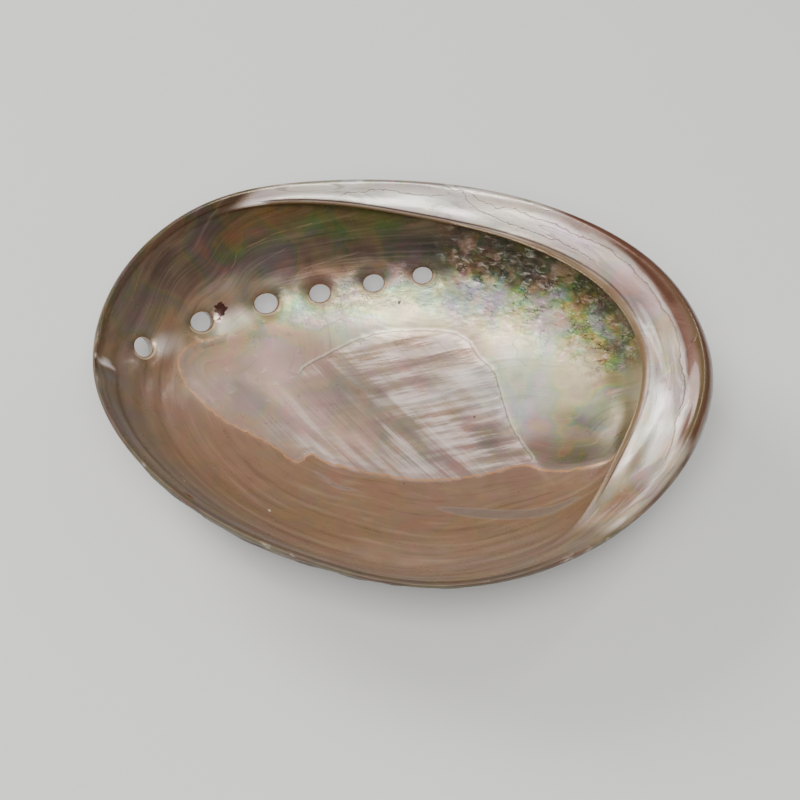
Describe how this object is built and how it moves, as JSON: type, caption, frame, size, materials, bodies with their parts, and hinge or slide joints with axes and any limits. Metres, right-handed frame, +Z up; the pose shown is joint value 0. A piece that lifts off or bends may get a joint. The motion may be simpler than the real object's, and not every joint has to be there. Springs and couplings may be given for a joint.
{
  "type": "abalone shell",
  "caption": "Polished ear-shaped abalone shell lying on its back: an open oval bowl with an inner shelf along one side and a row of breathing holes through the wall.",
  "frame": {"origin": "under the middle of the outline, on the surface that the shell's back rests on", "axes": "+X along the shell's length to the spire end, +Y to the side of the shelf and the row of holes, +Z up out of the mouth"},
  "size_m": [0.1412, 0.1022, 0.0362],
  "materials": {
    "polished_nacre": "polished mother of pearl, silvery pink with green and gold patches, tan towards the lip"
  },
  "bodies": {
    "root": {"abalone_shell": "polished_nacre"}
  },
  "joints": []
}
